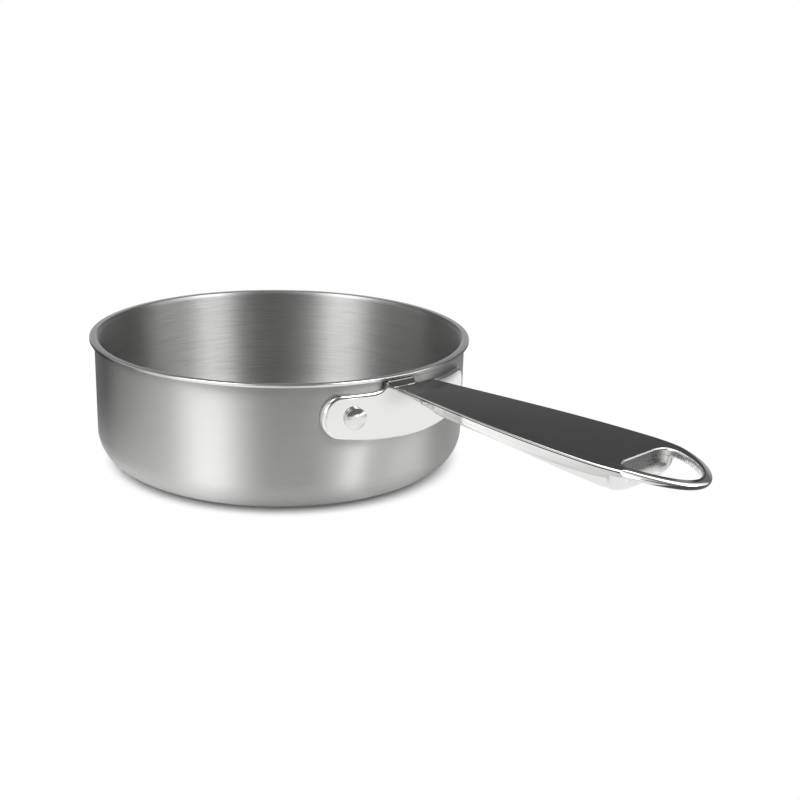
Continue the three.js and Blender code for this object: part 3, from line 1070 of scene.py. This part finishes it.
stage = {
    "floorSize": 6.0,
    "floorColour": 0.9,
    "floorShade": (0.089, 0.103),  # the floor's own shading runs out between these radii
    "floorGloss": (0.10, 0.17),  # and in the metal between these
    "lamp": 26.0,
    "lampSize": 1.2,
    "lampPlace": (-0.25, -0.35, 1.5),
    "fill": 0.55,
    "domeRadius": 1.6,
    "domeSteps": 96,
    "domeRows": 24,
    "domeLift": 0.002,  # the dome and the cards stand clear of the floor
    "cardLift": 0.001,
    "lowest": 0.02,  # least sine of the elevation
    "peak": 8.0,  # the ramps hold levels as shares of this
    "dim": 0.16,  # the dome between its lights
    "stripsFrom": (-0.9, -0.6),  # reach of the overhead strips, behind and in front, per unit of rise
    "stripsTo": (0.6, 0.9),
    "leftTop": (0.32, 0.55),  # sine of the elevation where the left and the right lights end
    "rightTop": (0.03, 0.12),
    "sidePanel": 0.45,
    "sideFrom": (0.15, 0.19),
    "sideTo": (0.28, 0.33),
    "sideTop": (0.5, 0.75),
    "back": 0.27,
    "backReach": (-0.8, -0.5),
    "backTop": (0.25, 0.38),
    "cardColour": 0.04,
    "leftCard": (0.11, 0.18),  # the cards on the floor start between these radii
    "rightCard": (0.24, 0.28),
    "farCard": (0.29, 0.33),  # beyond these they draw back from the front by a share
    "farShare": 0.08,
}

# what the metal shows of the cards, 0 is a dark card and 1 the bare floor, placed as below
cardStops = [
    (0.0, 0.0), (0.2, 0.0), (0.27, 0.15), (0.33, 0.7), (0.37, 1.0), (0.45, 1.0), (0.48, 0.8), (0.51, 0.65),
    (0.53, 0.75), (0.56, 0.95), (0.62, 1.0), (0.67, 0.75), (0.72, 0.35), (0.78, 0.1), (1.0, 0.0),
]
# lights round the dome, from behind the object by its left, the camera at 0.5, its right and back
leftStops = [
    (0.0, 0.0), (0.20, 0.0), (0.27, 0.05), (0.31, 0.5), (0.34, 1.8), (0.40, 1.95), (0.43, 0.6), (0.47, 0.0),
    (1.0, 0.0),
]
rightStops = [
    (0.0, 0.0), (0.55, 0.0), (0.59, 1.0), (0.625, 7.4), (0.66, 4.6), (0.72, 3.3), (0.77, 0.1), (0.88, 0.0),
    (1.0, 0.0),
]
# overhead strips by the turn of the wall that shows them to the camera, in degrees
stripStops = [
    (-90, 0.05), (-60, 0.05), (-44, 0.05), (-33, 0.2), (-28, 1.6), (-24, 3.9), (-16, 4.4), (-11, 1.1),
    (-6, 0.45), (3, 0.1), (10, 0.15), (14, 0.6), (19, 4.4), (27, 4.3), (31, 1.4), (44, 0.9), (54, 0.1),
    (66, 0.05), (90, 0.05),
]

view = {
    "place": (0.5209, -0.4309, 0.2437),
    "forward": (-0.6705, 0.6780, -0.3012),
    "up": (-0.2351, 0.1910, 0.9530),
    "lens": 56.17,
    "sensor": 36,
    "shift": -0.001,
    "nearest": 0.01,
}


# rays from the camera, and rays from metal or glass
def seenBy(wire):
    path = wire.add("ShaderNodeLightPath")
    shiny = wire.math("MAXIMUM", path.output("Is Glossy Ray"), path.output("Is Transmission Ray"))
    return path.output("Is Camera Ray"), shiny


def floorMaterial():
    material, wire = newMaterial("paleFloor")
    radius = axisDistance(parted(wire, objectPlace(wire)))
    camera, shiny = seenBy(wire)
    clear = camera * between(wire, radius, stage["floorShade"])
    clear = clear + shiny * between(wire, radius, stage["floorGloss"])
    plain = wire.add("ShaderNodeBsdfDiffuse", {}, {"Color": grey(stage["floorColour"])})
    white = wire.add("ShaderNodeEmission", {}, {"Color": grey(1), "Strength": 1.0})
    surface(wire, wire.add("ShaderNodeMixShader", {}, {0: clear, 1: plain, 2: white}))
    return material


# turn about the pan's axis, 0.5 towards the camera
def roundShare(wire, heading):
    parts = parted(wire, objectPlace(wire))
    turn = wire.math("ARCTAN2", parts.output("Y"), parts) / (2 * math.pi)
    return wire.math("FRACT", turn - heading / 360 + 1.5), parts


# a ramp of grey levels, which are kept as shares of the peak
def levelRamp(wire, stops, place):
    shares = [(at, level / stage["peak"]) for at, level in stops]
    return wire.add("ShaderNodeValToRGB", {"stops": shares}, {"Fac": place})


def domeMaterial(heading):
    material, wire = newMaterial("studioDome")
    share, parts = roundShare(wire, heading)
    c, s = math.cos(math.radians(heading)), math.sin(math.radians(heading))
    x, y = parts, parts.output("Y")
    peak, radius = stage["peak"], stage["domeRadius"]
    rise = wire.math("MAXIMUM", parts.output("Z") / radius, stage["lowest"])
    ahead = (x * c + y * s) / radius
    side = (y * c - x * s) / radius
    lean = wire.math("ARCTAN2", side, ahead + math.hypot(*view["forward"][:2])) / math.pi + 0.5
    strips = levelRamp(wire, [(0.5 + turn / 180, level) for turn, level in stripStops], lean)
    along = ahead / rise
    over = between(wire, along, stage["stripsFrom"]) * (1 - between(wire, along, stage["stripsTo"]))
    low = levelRamp(wire, leftStops, share) * (1 - between(wire, rise, stage["leftTop"]))
    low = low + levelRamp(wire, rightStops, share) * (1 - between(wire, rise, stage["rightTop"]))
    flank = between(wire, share, stage["sideFrom"]) * (1 - between(wire, share, stage["sideTo"]))
    panel = flank * (1 - between(wire, rise, stage["sideTop"])) * (stage["sidePanel"] / peak)
    behind = (1 - between(wire, ahead, stage["backReach"])) * (1 - between(wire, rise, stage["backTop"]))
    level = stage["dim"] / peak + strips * over + panel + behind * (stage["back"] / peak) + low
    surface(wire, wire.add("ShaderNodeEmission", {}, {"Color": level, "Strength": peak}))
    return material


# dark cards on the floor: where there is none, the floor is seen through
def cardMaterial(heading):
    material, wire = newMaterial("floorCards")
    share, parts = roundShare(wire, heading)
    radius = axisDistance(parts)
    drawn = share + (0.5 - share) * (between(wire, radius, stage["farCard"]) * stage["farShare"])
    bare = wire.add("ShaderNodeValToRGB", {"stops": cardStops}, {"Fac": drawn})
    left = wire.math("LESS_THAN", share, 0.5)
    start = left * between(wire, radius, stage["leftCard"])
    start = start + (1 - left) * between(wire, radius, stage["rightCard"])
    cover = (1 - bare) * start
    clear = wire.add("ShaderNodeBsdfTransparent")
    dark = wire.add("ShaderNodeEmission", {}, {"Color": grey(stage["cardColour"]), "Strength": 1.0})
    surface(wire, wire.add("ShaderNodeMixShader", {}, {0: cover, 1: clear, 2: dark}))
    return material


def addStage(name, mesh, material):
    item = bpy.data.objects.new(name, mesh)
    mesh.materials.append(material)
    scene.collection.objects.link(item)
    return item


def floorMesh():
    mesh = bpy.data.meshes.new("floor")
    s = stage["floorSize"]
    mesh.from_pydata([(-s, -s, 0), (s, -s, 0), (s, s, 0), (-s, s, 0)], [], [(0, 1, 2, 3)])
    return mesh


# half a sphere, or a flat disc when it has one row
def domeMesh(name, rows, height):
    radius, count = stage["domeRadius"], stage["domeSteps"]
    spots, faces = [(0, 0, radius if rows > 1 else height)], []
    for k in range(1, rows + 1):
        lift = math.pi / 2 * (1 - k / rows)
        reach = radius * math.cos(lift)
        for i in range(count):
            a = 2 * math.pi * i / count
            spots.append((reach * math.cos(a), reach * math.sin(a), max(height, radius * math.sin(lift))))
    for i in range(count):
        j = (i + 1) % count
        faces.append((0, 1 + i, 1 + j))
        for k in range(rows - 1):
            upper, lower = 1 + k * count, 1 + (k + 1) * count
            faces.append((upper + i, lower + i, lower + j, upper + j))
    mesh = bpy.data.meshes.new(name)
    mesh.from_pydata(spots, [], faces)
    return mesh


addStage("floor", floorMesh(), floorMaterial())
heading = math.degrees(math.atan2(view["place"][1], view["place"][0]))
domeShape = domeMesh("studioDome", stage["domeRows"], stage["domeLift"])
cardShape = domeMesh("floorCards", 1, stage["cardLift"])
dome = addStage("studioDome", domeShape, domeMaterial(heading))
cards = addStage("floorCards", cardShape, cardMaterial(heading))
for item in (dome, cards):
    item.visible_camera = False
    item.visible_diffuse = False
    item.visible_shadow = False

world = bpy.data.worlds.new("studio")
scene.world = world
world.use_nodes = True
world.node_tree.nodes.clear()
sky = Wire(world.node_tree)
direct = sky.math("MAXIMUM", *seenBy(sky))
fill = stage["fill"] + direct * (1 - stage["fill"])
sky.add("ShaderNodeOutputWorld", {}, {
    "Surface": sky.add("ShaderNodeBackground", {}, {"Color": grey(1), "Strength": fill}),
})

lampData = bpy.data.lights.new("softLamp", "AREA")
lampData.shape = "SQUARE"
lampData.size = stage["lampSize"]
lampData.energy = stage["lamp"]
lamp = bpy.data.objects.new("softLamp", lampData)
lamp.location = stage["lampPlace"]
lamp.rotation_euler = Vector(stage["lampPlace"]).to_track_quat("Z", "Y").to_euler()
lamp.visible_glossy = False
scene.collection.objects.link(lamp)

cameraData = bpy.data.cameras.new("camera")
cameraData.sensor_width = view["sensor"]
cameraData.lens = view["lens"]
cameraData.shift_x = view["shift"]
cameraData.clip_start = view["nearest"]
camera = bpy.data.objects.new("camera", cameraData)
back = -Vector(view["forward"]).normalized()
right = Vector(view["up"]).cross(back).normalized()
turned = Matrix((right, back.cross(right), back)).transposed().to_4x4()
camera.matrix_world = Matrix.Translation(view["place"]) @ turned
scene.collection.objects.link(camera)
scene.camera = camera
print("stage made")

bpy.context.view_layer.update()
